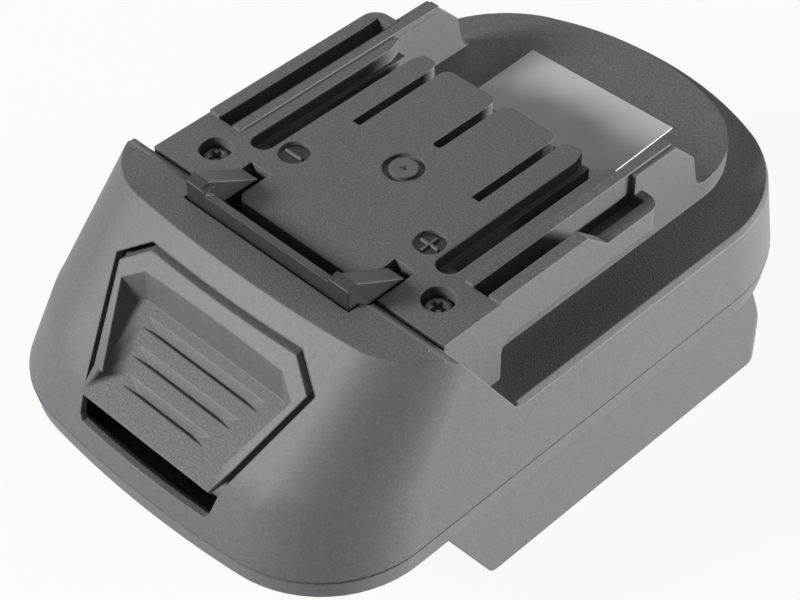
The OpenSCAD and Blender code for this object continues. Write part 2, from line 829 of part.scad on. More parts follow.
// what the chamfer takes off the edge of the shelf, behind the nose
module edge_waste() {
  difference() {
    box(-body_w, body_w, deck_y + shoulder_foot + edge_step, far, shelf_z - 1.5 * edge_h, shelf_z + edge_h);
    slab(shelf_z - 2 * edge_h, shelf_z + edge_h, -edge_step, 3 * edge_step);
  }
}

module upper_outside() {
  difference() {
    intersection() {
      slab(part_z, shelf_z, 0);
      slope_form(0, shelf_z, side_draft);
    }
    edge_waste();
  }
  difference() {
    intersection() {
      box(-body_w, body_w, -far, far, shelf_z, brow_z);
      nose_profile();
      slope_form(0);
    }
    brow_hollow();
  }
  rail_block();
}

module upper_inside() {
  intersection() {
    difference() {
      slab(part_z - 1, roof_z, wall_t);
      box(-body_w, body_w, deck_y - deck_step, far, inner_z, far);
    }
    slope_form(wall_t, brow_z, side_draft);
  }
  intersection() {
    nose_form(lip_t, roof_z);
    box(-relief_hw, relief_hw, -far, deck_y - hook_front, part_z + base_lip_h, far);
  }
  box(-cavity_hw, cavity_hw, cavity_y0, cavity_y1, inner_z - 1, deck_z - deck_t);
  translate([0, 0, inner_z - 1]) linear_extrude(platform_z - wall_t - inner_z + 1) platform_plan(wall_t);
}

module housing_places() {
  for (p = [[front_screw_x, deck_y - front_screw_y], [rear_screw_x, deck_y + rear_screw_y]]) {
    translate([p[0], p[1], 0]) children();
    translate([-p[0], p[1], 0]) children();
  }
}

module deck_screw_places() {
  for (s = [-1, 1]) translate([s * deck_screw_x, deck_y + deck_screw_y, 0]) children();
}

module upper_bosses() {
  z0 = floor_z + collar_h + boss_gap;
  intersection() {
    housing_places() pillar(0, 0, z0, far, boss_r);
    union() {
      slab(z0 - 1, platform_z - 1, wall_t / 2);
      nose_form(wall_t / 2, brow_z - 1);
    }
    slope_form(wall_t / 2);
    union() {
      box(-far, far, -far, deck_y, 0, far);
      box(-far, far, deck_y, far, 0, inner_z + 1);
      translate([0, 0, inner_z]) linear_extrude(platform_h) platform_plan(1);
    }
  }
  for (y = holder_boss_y) pillar(0, deck_y + y, holder_z + holder_t, deck_z - deck_t + 1, holder_boss_r);
}

module terminal_cut() {
  translate([term_x, deck_y, deck_z - term_d]) linear_extrude(term_d + 1) {
    translate([0, term_y + term_w / 2]) circle(d = term_w);
    translate([-term_w / 2, term_y + term_w / 2]) square([term_w, deck_l]);
    polygon([
      [-term_w / 2, deck_l - 2.5], [-term_w / 2 - flare_w, deck_l + 0.1],
      [term_w / 2 + flare_w, deck_l + 0.1], [term_w / 2, deck_l - 2.5]
    ]);
  }
  box(term_x - deep_w / 2, term_x + deep_w / 2, deck_y + deep_y, deck_end + 1, deck_z - deep_d, deck_z);
}

module deck_cuts() {
  both_sides() {
    terminal_cut();
    box(groove_x - groove_w / 2, groove_x + groove_w / 2, deck_y + groove_y, deck_end + 1,
      deck_z - groove_d, deck_z + 1);
    pillar(disc_x, deck_y + disc_y, deck_z - disc_d, deck_z + 1, disc_r);
    corner_waste(groove_w / 2, deck_end, -1, 1, tongue_r, deck_z - groove_d, deck_z + 1);
    corner_waste(groove_x - groove_w / 2, deck_end, 1, 1, tongue_r, deck_z - groove_d, deck_z + 1);
    corner_waste(groove_x + groove_w / 2, deck_end, -1, 1, tongue_r, deck_z - groove_d, deck_z + 1);
  }
  translate([0, 0, deck_z - groove_d]) linear_extrude(groove_d + 1) {
    translate([0, deck_y + mid_groove_y + groove_w / 2]) circle(d = groove_w);
    translate([-groove_w / 2, deck_y + mid_groove_y + groove_w / 2]) square([groove_w, deck_l]);
  }
  difference() {
    pillar(0, deck_y + gate_y, deck_z - disc_d, deck_z + 1, gate_r);
    pillar(0, deck_y + gate_y, deck_z - 1, deck_z, gate_disc_r);
  }
}

module latch_opening() {
  w = hook_hw + hook_gap;
  v = hook_hw - arm_w - arm_gap;
  e = arm_end_y + hole_room;
  translate([0, deck_y, deck_z - well_d]) linear_extrude(well_d + brow_h + 1) polygon([
    [-w, -hook_front - hook_gap], [w, -hook_front - hook_gap], [w, e], [v, e], [v, plate_y + plate_c],
    [v - plate_c, plate_y], [plate_c - v, plate_y], [-v, plate_y + plate_c], [-v, e], [-w, e]
  ]);
}

// left half of a front outline followed by its mirror image
function mirrored(half) =
  concat(half, [for (i = [len(half) - 1:-1:0]) [-half[i][0], half[i][1]]]);

function opening_pts() = mirrored([
  [-open_top_hw, deck_z - open_top_d], [-open_wide_hw, deck_z - open_wide_d],
  [-open_low_hw, deck_z - open_low_d], [-open_end_hw, deck_z - open_end_d + open_end_c],
  [-open_end_hw + open_end_c, deck_z - open_end_d]
]);

// half width of the opening at a depth below the deck, on its tapering side
function taper_hw(d) =
  open_wide_hw - (open_wide_hw - open_low_hw) * (d - open_wide_d) / (open_low_d - open_wide_d);

module upper_housing() {
  color(plastic) difference() {
    union() {
      difference() {
        upper_outside();
        upper_inside();
      }
      upper_bosses();
    }
    deck_cuts();
    latch_opening();
    front_view(opening_pts(), -far, deck_y - ridge_y + 2);
    deck_screw_places() {
      pillar(0, 0, deck_z - deck_screw_d, deck_z + 1, head_r + head_gap);
      pillar(0, 0, inner_z - 1, deck_z, shank_r + shank_gap);
    }
    housing_places() pillar(0, 0, floor_z, floor_z + collar_h + bite + tip_gap, shank_r + slip);
    for (y = holder_boss_y)
      pillar(0, deck_y + y, holder_z, deck_z - deck_t - 1, small_r + slip);
  }
}

// side view of the space between the dock walls, open at the front and below
function dock_space(below) = let(lean = (dock_foot_rear - dock_rear) / dock_h) [
  [-far, rim_z], [-far, -below],
  [deck_y + dock_foot_rear - dock_rear_t + below * lean, -below], [deck_y + dock_rear - dock_rear_t, rim_z]
];

module dock_outside() {
  lean = atan2(dock_foot_front + dock_front, dock_h);
  rear_lean = atan2(dock_foot_rear - dock_rear, dock_h);
  front_in = dock_front_r * tan(45 - lean / 2);
  rear_in = dock_rear_r * tan(45 + rear_lean / 2);
  intersection() {
    side_view(concat(
      [[deck_y - dock_front, rim_z + eps]],
      arc(deck_y + dock_foot_front + front_in, dock_front_r, dock_front_r, 180 + lean, 270, corner_n / 2),
      arc(deck_y + dock_foot_rear - rear_in, dock_rear_r, dock_rear_r, 270, 360 + rear_lean, corner_n),
      [[deck_y + dock_rear, rim_z + eps]]
    ), -dock_w / 2, dock_w / 2);
    linear_extrude(far) bowed_plan(dock_w / 2, deck_y - dock_front - wall_t, deck_y + dock_foot_rear,
      far * 4, 1, far * 4, dock_corner_r);
  }
}

module dock_inside() {
  side_view(dock_space(1), -dock_w / 2 + dock_t, dock_w / 2 - dock_t);
}

module guide_rail() {
  inner = dock_w / 2 - dock_t;
  side_view([
    [deck_y + guide_y, guide_z], [deck_y + guide_y + guide_h / 2, guide_z + guide_h],
    [deck_y + dock_rear - dock_rear_t / 2, guide_z + guide_h], [deck_y + dock_rear - dock_rear_t / 2, guide_z]
  ], inner - guide_w, inner + eps);
}

module standoff_places() {
  for (s = [-1, 1])
    for (y = [board_y + standoff_in, board_y + board_l - standoff_in])
      translate([s * standoff_x, deck_y + y, 0]) children();
}

module spring_places() {
  for (s = [-1, 1]) translate([s * spring_x, deck_y - spring_y, 0]) children();
}

module lower_housing() {
  color(plastic) difference() {
    union() {
      difference() {
        union() {
          rim_form();
          slab(part_z - seam_h - eps, part_z, seam_d);
        }
        slab(floor_z, part_z + 1, wall_t + lip_fit + base_lip_t);
      }
      difference() {
        slab(part_z - seam_h, part_z + base_lip_h, wall_t + lip_fit);
        slab(floor_z, part_z + base_lip_h + 1, wall_t + lip_fit + base_lip_t);
        box(-relief_hw, relief_hw, -far, deck_y - nose_l / 2, part_z, far);
      }
      difference() {
        dock_outside();
        dock_inside();
      }
      both_sides() guide_rail();
      housing_places() pillar(0, 0, floor_z - eps, floor_z + collar_h, boss_r);
      deck_screw_places() pillar(0, 0, floor_z - eps, inner_z - slip, pillar_r);
      standoff_places() pillar(0, 0, floor_z - eps, board_z, standoff_r);
      spring_places() pillar(0, 0, floor_z - eps, floor_z + peg_h, spring_r - wire_r - peg_gap);
    }
    housing_places() {
      pillar(0, 0, rim_z - 1, rim_z + head_h + head_gap, head_r + head_gap);
      pillar(0, 0, rim_z, far, shank_r + shank_gap);
    }
    deck_screw_places() pillar(0, 0, inner_z - bite - tip_gap, far, shank_r + slip);
    standoff_places() pillar(0, 0, board_z - standoff_bore, far, small_r + slip);
    box(-block_hw - block_fit, block_hw + block_fit, deck_y + block_front - block_fit,
      deck_y + block_front + block_l + block_fit, rim_z - 1, floor_z + 1);
  }
}

function button_pts() = let(wide_d = open_wide_d + button_top_gap / 2) mirrored([
  [-open_top_hw + button_gap / 2, deck_z - open_top_d - button_top_gap],
  [-taper_hw(wide_d) + button_gap, deck_z - wide_d],
  [-taper_hw(open_low_d) + button_gap, deck_z - open_low_d],
  [-open_end_hw + button_end_gap, deck_z - button_end_d]
]);

function flange_pts() = mirrored([
  [-open_wide_hw - flange_w, deck_z - open_wide_d - flange_gap],
  [-open_low_hw - flange_w, deck_z - open_low_d]
]);

function skirt_pts() = mirrored([
  [-open_low_hw - flange_w, deck_z - open_low_d + skirt_t], [-open_end_hw - flange_w, deck_z - skirt_d]
]);

module scoop() {
  back_hw = scoop_top_hw - scoop_corner / 2;
  side_hw = back_hw + 2 * scoop_corner;
  intersection() {
    front_view(mirrored([
      [-scoop_top_hw, deck_z - scoop_top_d], [-scoop_wide_hw, deck_z - scoop_wide_d],
      [-scoop_low_hw, deck_z - scoop_low_d]
    ]), -far, deck_y - ridge_y);
    side_view([
      [deck_y - scoop_wall_y, deck_z], [deck_y - scoop_wall_y, deck_z - scoop_foot_d],
      [deck_y - scoop_low_y, deck_z - scoop_low_d], [-far, deck_z - scoop_low_d], [-far, deck_z]
    ], -far, far);
    linear_extrude(deck_z) polygon(mirrored([
      [-back_hw, deck_y - scoop_wall_y], [-side_hw, deck_y - scoop_wall_y - scoop_corner], [-side_hw, -far]
    ]));
  }
}

// wedge below the scoop floor that carries it on to the toe
module toe() {
  side_view([
    [deck_y - scoop_wall_y, deck_z - scoop_foot_d],
    [deck_y - toe_y, deck_z - scoop_foot_d - (toe_y - scoop_wall_y) * floor_fall],
    [deck_y - toe_y + toe_back, deck_z - button_end_d], [deck_y - scoop_wall_y, deck_z - button_end_d]
  ], -far, far);
}

module grip_grooves() {
  run = scoop_low_y - scoop_wall_y;
  fall = scoop_low_d - scoop_foot_d;
  a = atan2(fall, run);
  for (i = [0:grip_count - 1]) {
    s = grip_start + i * grip_pitch;
    hw = grip_hw - i * grip_taper;
    translate([0, deck_y - scoop_wall_y, deck_z - scoop_foot_d]) rotate([a, 0, 0]) intersection() {
      side_view([
        [-s, grip_d], [-s, 0], [-s + grip_steep, -grip_d], [-s + grip_w, 0], [-s + grip_w, grip_d]
      ], -hw, hw);
      front_view(mirrored([[-hw, grip_d], [-hw, 0], [-hw + grip_end, -grip_d]]), -far, far);
    }
  }
}

module release_button() {
  color(plastic) difference() {
    union() {
      difference() {
        intersection() {
          union() {
            nose_form(0, brow_z);
            toe();
          }
          front_view(button_pts(), -far, deck_y - ridge_y + brow_r);
        }
        nose_form(button_t, brow_z - button_t);
      }
      difference() {
        intersection() {
          nose_form(button_t - skirt_t, roof_z);
          front_view(skirt_pts(), -far, deck_y - carrier_front);
        }
        nose_form(button_t, roof_z);
      }
      difference() {
        intersection() {
          nose_form(lip_t + flange_gap, roof_z);
          front_view(flange_pts(), -far, deck_y - carrier_front);
        }
        nose_form(lip_t + flange_gap + flange_t, roof_z);
      }
      intersection() {
        for (s = [-1, 1]) translate([s * post_x, deck_y - carrier_front, deck_z - post_d]) rotate([90, 0, 0])
          cylinder(h = nose_l, r = post_r);
        nose_form(button_t - 1, brow_z);
      }
    }
    scoop();
    grip_grooves();
    for (s = [-1, 1]) translate([s * post_x, deck_y - carrier_front + 1, deck_z - post_d]) rotate([90, 0, 0])
      cylinder(h = bite / 2 + 1, r = small_r + slip);
  }
}

module latch_hook() {
  rear = bar_t - hook_front;
  foot = -carrier_d + carrier_t;
  at = [0, deck_y, deck_z];
  color(black) difference() {
    translate(at) union() {
      side_view([
        [-hook_front, foot], [-hook_front, bar_h],
        [rear, bar_h - bar_t * (arm_h / (arm_dip_y + hook_front - crest_y))], [rear, foot]
      ], arm_w - hook_hw - eps, hook_hw - arm_w + eps);
      both_sides() side_view([
        [-hook_front, foot], [-hook_front, arm_front_h], [crest_y - hook_front, arm_h], [arm_dip_y, 0],
        [arm_end_y, -arm_tip_d / 4], [arm_end_y, -arm_tip_d], [rear, foot + 1], [rear, foot]
      ], hook_hw - arm_w, hook_hw);
      both_sides() side_view([
        [-hook_front, foot], [-hook_front, arm_front_h], [rear, (arm_front_h + arm_h) / 2], [rear, foot]
      ], hook_hw - arm_w - bar_end, hook_hw - arm_w + eps);
      box(-hook_hw, hook_hw, -carrier_front, carrier_rear, -carrier_d, foot + eps);
      box(-post_x - upright_reach, post_x + upright_reach, -carrier_front, -carrier_front + upright_t,
        -upright_d, -carrier_d + eps);
    }
    for (s = [-1, 1]) translate([s * post_x, deck_y - carrier_front + bite / 2, deck_z - post_d])
      rotate([90, 0, 0]) cylinder(h = bite, r = small_r + shank_gap);
  }
}

// pan head on top of a shank, pointing down from the origin
module screw(hr, hh, sr, len) {
  rotate_extrude() polygon([
    [0, -len], [sr * 0.35, -len], [sr, -len + sr * 1.4], [sr, 0], [hr, 0], [hr, hh * 0.55],
    [hr * 0.75, hh], [0, hh]
  ]);
}

module button_screws() {
  color(metal) for (s = [-1, 1])
    translate([s * post_x, deck_y - carrier_front + upright_t + slip, deck_z - post_d]) rotate([-90, 0, 0])
      screw(small_head_r, small_head_h, small_r, bite / 2);
}

// coil drawn as one tube: rings of points along a helix, capped at both ends
module coil(h, r, wr, turns) {
  rings = turns * 8;
  sides = 6;
  rise = h - 2 * wr;
  tilt = atan2(rise / turns, 2 * PI * r);
  pts = [for (i = [0:rings]) for (j = [0:sides - 1]) let(
    a = 360 * turns * i / rings, b = 360 * j / sides, q = r + wr * cos(b), t = wr * sin(b)
  ) [
    q * cos(a) + t * sin(tilt) * sin(a),
    q * sin(a) - t * sin(tilt) * cos(a),
    wr + rise * i / rings + t * cos(tilt)
  ]];
  skin = [for (i = [0:rings - 1]) for (j = [0:sides - 1]) let(k = (j + 1) % sides)
    each [[i * sides + j, (i + 1) * sides + j, (i + 1) * sides + k],
      [i * sides + j, (i + 1) * sides + k, i * sides + k]]];
  caps = [[for (j = [0:sides - 1]) j], [for (j = [sides - 1:-1:0]) rings * sides + j]];
  polyhedron(pts, concat(skin, caps));
}

spring_l = carrier_z - floor_z - 2 * spring_gap;
spring_tilt = atan2(spring_l / spring_turns, 2 * PI * spring_r);
echo(coil_gap = (spring_l - 2 * wire_r) / spring_turns * cos(spring_tilt) - 2 * wire_r);

module left_spring() {
  color(metal) translate([-spring_x, deck_y - spring_y, floor_z + spring_gap])
    coil(spring_l, spring_r, wire_r, spring_turns);
}

module right_spring() {
  color(metal) translate([spring_x, deck_y - spring_y, floor_z + spring_gap])
    coil(spring_l, spring_r, wire_r, spring_turns);
}

// two sprung leaves on one foot, with a crimp barrel behind
module clip() {
  leaf = clip_foot_d - clip_top_d;
  inner = clip_gap / 2;
  translate([term_x, deck_y + clip_y, deck_z - clip_foot_d]) difference() {
    union() {
      box(-clip_foot_hw, clip_foot_hw, 0, clip_l, 0, clip_t);
      both_sides() {
        box(inner, inner + clip_t, 0, clip_l - flare_l, 0, leaf);
        translate([inner, clip_l - flare_l, 2 * (lead_r + barrel_t)]) rotate([0, 0, -clip_flare])
          box(0, clip_t, -clip_t / 2, flare_l, 0, leaf - 2 * (lead_r + barrel_t));
      }
      translate([0, clip_l - clip_t, lead_r + barrel_t]) rotate([-90, 0, 0])
        cylinder(h = barrel_l + clip_t, r = lead_r + barrel_t);
    }
    translate([0, clip_l, lead_r + barrel_t]) rotate([-90, 0, 0])
      cylinder(h = barrel_l + 1, r = lead_r + slip);
  }
}

module positive_clip() {
  color(brass) clip();
}

module negative_clip() {
  color(brass) mirror([1, 0, 0]) clip();
}

module clip_holder() {
  color(black) difference() {
    union() {
      box(-holder_hw, holder_hw, deck_y + holder_y, deck_y + holder_y + holder_l,
        holder_z, holder_z + holder_t);
      both_sides() for (x = [term_x - clip_foot_hw - cheek_gap - cheek_t, term_x + clip_foot_hw + cheek_gap])
        box(x, min(x + cheek_t, holder_hw), deck_y + clip_y, deck_y + clip_y + clip_l,
          holder_z + holder_t - eps, holder_z + holder_t + cheek_h);
    }
    for (y = holder_boss_y) pillar(0, deck_y + y, holder_z - 1, holder_z + holder_t + 1, small_r + shank_gap);
  }
}

module holder_screws() {
  color(metal) for (y = holder_boss_y) translate([0, deck_y + y, holder_z - slip]) rotate([180, 0, 0])
    screw(small_head_r, small_head_h, small_r, holder_t + bite / 2);
}

// wire from the crimp barrel, bent down to the board
module lead() {
  translate([term_x, 0, 0]) {
    translate([0, lead_y - barrel_l + slip, lead_z]) rotate([-90, 0, 0])
      cylinder(h = barrel_l + 1 + bend_lap, r = lead_r);
    translate([0, lead_y + 1, lead_z - lead_bend]) rotate([0, -90, 0]) rotate_extrude(angle = 90)
      translate([lead_bend, 0]) circle(lead_r - bend_thin);
    pillar(0, lead_y + 1 + lead_bend, board_top + slip, lead_z - lead_bend + bend_lap, lead_r);
  }
}

module positive_lead() {
  color("#b03028") lead();
}

module negative_lead() {
  color(black) mirror([1, 0, 0]) lead();
}

module tail_cuts() {
  for (x = [-power_x, -signal_x, signal_x, power_x])
    box(x - blade_t / 2 - slip, x + blade_t / 2 + slip, deck_y + block_front + tail_y - slip,
      deck_y + block_front + tail_y + tail_l + slip, block_z, board_top + tail_h + 1);
}

module circuit_board() {
  color(green) difference() {
    box(-board_w / 2, board_w / 2, deck_y + board_y, deck_y + board_y + board_l, board_z, board_top);
    standoff_places() pillar(0, 0, board_z - 1, board_top + 1, small_r + shank_gap);
    tail_cuts();
  }
}

module board_screws() {
  color(metal) standoff_places() translate([0, 0, board_top + slip])
    screw(small_head_r, small_head_h, small_r, board_t + standoff_h - 1);
}

// flat power package: moulded body, metal tab and three legs
module transistor() {
  box(-pack_w / 2, pack_w / 2, 0, pack_l, pack_lift, pack_lift + pack_h);
  box(-pack_w / 2, pack_w / 2, pack_l - eps, pack_l + tab_l, pack_lift, pack_lift + tab_t);
  for (x = [-leg_pitch, 0, leg_pitch]) {
    box(x - leg_w / 2, x + leg_w / 2, -leg_l, eps, leg_z, leg_z + leg_t);
    box(x - leg_w / 2, x + leg_w / 2, -leg_l, leg_t - leg_l, 0, leg_z + leg_t);
  }
}

module power_transistors() {
  color(black) for (s = [-1, 1]) translate([s * pack_x, deck_y + board_y + pack_y, board_top]) transistor();
}

module storage_capacitor() {
  color("#2c3a5a") translate([0, deck_y + board_y + board_l - can_in, board_top]) rotate_extrude() polygon([
    [0, 0], [can_r - can_edge, 0], [can_r, can_edge], [can_r, bead_z - can_edge],
    [can_r - can_edge / 2, bead_z], [can_r, bead_z + can_edge], [can_r, can_h - can_edge],
    [can_r - can_edge, can_h], [0, can_h]
  ]);
}

module control_chip() {
  first = (chip_l - pin_w - (pin_count - 1) * pin_pitch) / 2;
  color(black) translate([chip_x, deck_y + board_y + board_l - chip_in, board_top]) {
    box(-chip_w / 2, chip_w / 2, 0, chip_l, pack_lift, pack_lift + chip_h);
    both_sides() for (i = [0:pin_count - 1]) translate([chip_w / 2, first + i * pin_pitch, 0]) {
      box(-eps, pin_l, 0, pin_w, pin_z, pin_z + pin_t);
      box(pin_l - pin_t, pin_l, 0, pin_w, 0, pin_z + pin_t);
    }
  }
}

module blade(x) {
  y0 = deck_y + block_front;
  box(x - blade_t / 2, x + blade_t / 2, y0 - blade_reach, y0 + blade_in, blade_z, blade_z + blade_h);
  box(x - blade_t / 2, x + blade_t / 2, y0 + tail_y, y0 + tail_y + tail_l, blade_z + blade_h - eps,
    board_top + tail_h);
}

module pack_terminal_block() {
  y0 = deck_y + block_front;
  color(black) difference() {
    union() {
      box(-block_hw, block_hw, y0, y0 + block_l, block_z, floor_z + collar_h);
      box(-block_hw - collar_w, block_hw + collar_w, y0 - collar_w, y0 + block_l + collar_w,
        floor_z + slip, floor_z + collar_h);
    }
    for (x = [-power_x, -signal_x, signal_x, power_x])
      box(x - blade_t / 2 - slip, x + blade_t / 2 + slip, y0 - 1, y0 + blade_in + slip, blade_z - slip,
        blade_z + blade_h + slip);
    tail_cuts();
  }
}

module positive_blade() {
  color(brass) blade(power_x);
}

module negative_blade() {
  color(brass) blade(-power_x);
}

module signal_blades() {
  color(brass) for (s = [-1, 1]) blade(s * signal_x);
}

module housing_screws() {
  color(metal) housing_places() translate([0, 0, rim_z + head_h + head_gap - slip]) rotate([180, 0, 0])
    screw(head_r, head_h, shank_r, floor_t - head_h - head_gap + collar_h + bite);
}

module deck_screws() {
  color(metal) deck_screw_places() translate([0, 0, deck_z - deck_screw_d + slip])
    screw(head_r, head_h, shank_r, deck_z - deck_screw_d - inner_z + bite);
}

module label_plate() {
  color("#d8d8d6") translate([0, deck_end + label_gap + label_l / 2, platform_z]) rotate([0, 0, label_turn])
    box(-label_w / 2, label_w / 2, -label_l / 2, label_l / 2, 0, label_t);
}

upper_housing();
lower_housing();
release_button();
latch_hook();
button_screws();
left_spring();
right_spring();
positive_clip();
negative_clip();
clip_holder();
holder_screws();
positive_lead();
negative_lead();
circuit_board();
board_screws();
power_transistors();
storage_capacitor();
control_chip();
pack_terminal_block();
positive_blade();
negative_blade();
signal_blades();
housing_screws();
deck_screws();
label_plate();
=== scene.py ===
import math

import bpy
from mathutils import Matrix, Vector


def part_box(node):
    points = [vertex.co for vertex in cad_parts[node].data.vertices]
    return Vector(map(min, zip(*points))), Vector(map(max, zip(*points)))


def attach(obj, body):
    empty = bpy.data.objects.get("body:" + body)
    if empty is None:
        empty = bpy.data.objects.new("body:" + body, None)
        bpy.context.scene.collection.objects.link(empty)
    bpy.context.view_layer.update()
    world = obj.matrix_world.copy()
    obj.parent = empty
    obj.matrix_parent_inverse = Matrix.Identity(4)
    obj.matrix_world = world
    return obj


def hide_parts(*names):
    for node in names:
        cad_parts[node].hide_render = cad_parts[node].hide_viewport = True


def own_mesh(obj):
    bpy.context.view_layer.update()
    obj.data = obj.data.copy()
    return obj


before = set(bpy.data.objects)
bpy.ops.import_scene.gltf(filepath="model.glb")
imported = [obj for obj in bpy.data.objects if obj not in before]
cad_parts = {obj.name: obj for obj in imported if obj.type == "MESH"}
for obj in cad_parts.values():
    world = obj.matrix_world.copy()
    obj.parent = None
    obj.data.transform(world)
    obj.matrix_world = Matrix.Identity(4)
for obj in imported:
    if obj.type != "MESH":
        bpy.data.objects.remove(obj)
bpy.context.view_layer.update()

# Lower housing: the base with the rim under the parting line and the dock for the other pack.
# Moulded in one piece from charcoal glass-filled nylon, in a tool with a spark-eroded skin.


def linear(code):
    parts = [int(code[i:i + 2], 16) / 255 for i in (1, 3, 5)]
    return [v / 12.92 if v <= 0.04045 else ((v + 0.055) / 1.055) ** 2.4 for v in parts] + [1.0]


def add_node(tree, kind, settings=(), inputs=()):
    made = tree.nodes.new(kind)
    for key, value in dict(settings).items():
        setattr(made, key, value)
    for key, value in dict(inputs).items():
        if isinstance(value, bpy.types.NodeSocket):
            tree.links.new(value, made.inputs[key])
        else:
            made.inputs[key].default_value = value
    return made


def moulded(name, low, high, patch_mm, rough, grain_mm, grain_depth_mm, edge_mm, speckle_and_glint=None):
    """Moulded plastic: two close tones in patches, a grained skin and edges rounded by the mould."""
    made = bpy.data.materials.new(name)
    made.use_nodes = True
    tree = made.node_tree
    tree.nodes.clear()
    place = add_node(tree, "ShaderNodeTexCoord").outputs["Object"]
    patch = add_node(tree, "ShaderNodeTexNoise", inputs={
        "Vector": place, "Scale": 1000 / patch_mm, "Detail": 3.0, "Roughness": 0.6}).outputs["Fac"]
    grain = add_node(tree, "ShaderNodeTexNoise", inputs={
        "Vector": place, "Scale": 1000 / grain_mm, "Detail": 2.0, "Roughness": 0.5}).outputs["Fac"]
    colour = add_node(tree, "ShaderNodeMix", {"data_type": "RGBA"}, {
        0: patch, 6: linear(low), 7: linear(high)}).outputs[2]
    grit_and_painted_glint = 1.0
    if speckle_and_glint:
        # Where the part looks up, the grain relief is deeper and the lighter speckle on its peaks is
        # stronger: painted glints of the grain, added to the speckle it has everywhere.
        normal = add_node(tree, "ShaderNodeNewGeometry").outputs["Normal"]
        upward = add_node(tree, "ShaderNodeSeparateXYZ", inputs={"Vector": normal}).outputs["Z"]
        grit_and_painted_glint = add_node(tree, "ShaderNodeMapRange", inputs={
            "Value": upward, "From Min": 0.7, "From Max": 0.97,
            "To Min": 0.35, "To Max": 1.0}).outputs["Result"]
        peaks = add_node(tree, "ShaderNodeMapRange", inputs={
            "Value": grain, "From Min": 0.4, "From Max": 0.72, "To Max": grit_and_painted_glint}).outputs["Result"]
        colour = add_node(tree, "ShaderNodeMix", {"data_type": "RGBA"}, {
            0: peaks, 6: colour, 7: linear(speckle_and_glint)}).outputs[2]
    matt = add_node(tree, "ShaderNodeMapRange", inputs={
        "Value": patch, "To Min": rough - 0.06, "To Max": rough + 0.06}).outputs["Result"]
    edge = add_node(tree, "ShaderNodeBevel", {"samples": 6}, {"Radius": edge_mm / 1000}).outputs["Normal"]
    relief = add_node(tree, "ShaderNodeBump", inputs={
        "Height": grain, "Strength": grit_and_painted_glint,
        "Distance": grain_depth_mm / 1000, "Normal": edge}).outputs["Normal"]
    shade = add_node(tree, "ShaderNodeBsdfPrincipled", inputs={
        "Base Color": colour, "Roughness": matt, "Normal": relief, "IOR": 1.53, "Specular IOR Level": 0.32})
    add_node(tree, "ShaderNodeOutputMaterial", inputs={"Surface": shade.outputs["BSDF"]})
    return made


def dress(name, material):
    """Gives a CAD node its material, and shades its round faces smooth up to their edges."""
    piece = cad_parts[name]
    piece.data.materials.clear()
    piece.data.materials.append(material)
    weld = piece.modifiers.new("weld", "WELD")
    weld.merge_threshold = 3e-6
    flat = piece.modifiers.new("flat", "DECIMATE")
    flat.decimate_type = "DISSOLVE"
    flat.angle_limit = math.radians(0.5)
    split = piece.modifiers.new("split", "EDGE_SPLIT")
    split.split_angle = math.radians(24)
    piece.modifiers.new("lit", "WEIGHTED_NORMAL")
    piece.data.shade_smooth()


# Glass-filled nylon, moulded: an even charcoal with a dull satin sheen and a fine sandy skin.
# The grit is about 0.15 mm; it is drawn at 0.3 mm so that it shows.
# Its lighter speckle is partly painted glint, strongest on faces that look up.
glass_filled_nylon = moulded(
    "glass_filled_nylon", "#5b5c5e", "#67686a", patch_mm=0.9, rough=0.5,
    grain_mm=0.3, grain_depth_mm=0.07, edge_mm=0.4, speckle_and_glint="#7c7d7f")
dress("lower_housing", glass_filled_nylon)

# Pack contacts: blades pressed into a black insulating block that stands in the dock.
# Stamped from brass strip and nickel plated; the tails pass the floor to the board above it.


def metal(name, low, high, patch_mm, rough, grain_mm, grain_depth_mm):
    """Bare or plated metal: two close tones in patches and a fine worked skin."""
    made = bpy.data.materials.new(name)
    made.use_nodes = True
    tree = made.node_tree
    tree.nodes.clear()
    place = add_node(tree, "ShaderNodeTexCoord").outputs["Object"]
    patch = add_node(tree, "ShaderNodeTexNoise", inputs={
        "Vector": place, "Scale": 1000 / patch_mm, "Detail": 3.0, "Roughness": 0.6}).outputs["Fac"]
    grain = add_node(tree, "ShaderNodeTexNoise", inputs={
        "Vector": place, "Scale": 1000 / grain_mm, "Detail": 1.0}).outputs["Fac"]
    colour = add_node(tree, "ShaderNodeMix", {"data_type": "RGBA"}, {
        0: patch, 6: linear(low), 7: linear(high)}).outputs[2]
    matt = add_node(tree, "ShaderNodeMapRange", inputs={
        "Value": patch, "To Min": rough - 0.05, "To Max": rough + 0.05}).outputs["Result"]
    relief = add_node(tree, "ShaderNodeBump", inputs={
        "Height": grain, "Strength": 1.0, "Distance": grain_depth_mm / 1000}).outputs["Normal"]
    shade = add_node(tree, "ShaderNodeBsdfPrincipled", inputs={
        "Base Color": colour, "Roughness": matt, "Normal": relief, "Metallic": 1.0})
    add_node(tree, "ShaderNodeOutputMaterial", inputs={"Surface": shade.outputs["BSDF"]})
    return made


# Nickel plate over brass: pale warm grey and bright, a little uneven from the barrel.
nickel_plate = metal(
    "nickel_plate", "#c3c0b8", "#d2cfc8", patch_mm=3.0, rough=0.28,
    grain_mm=0.3, grain_depth_mm=0.003)
# Flame-proof polyester, moulded: black and dull.
black_polyester = moulded(
    "black_polyester", "#1d1d1e", "#242425", patch_mm=6.0, rough=0.6,
    grain_mm=0.25, grain_depth_mm=0.008, edge_mm=0.15)
dress("pack_terminal_block", black_polyester)
for name in ("positive_blade", "negative_blade", "signal_blades"):
    dress(name, nickel_plate)

# Circuit board: glass laminate on four standoffs of the base, with the cut-off electronics.
# Two flat power packages, a sleeved can capacitor and a small control chip are soldered on top.
# Solder resist over laminate: deep green with a soft gloss and a faint weave below it.
green_resist = moulded(
    "green_resist", "#1f4a30", "#28583a", patch_mm=4.0, rough=0.4,
    grain_mm=0.5, grain_depth_mm=0.004, edge_mm=0.1)
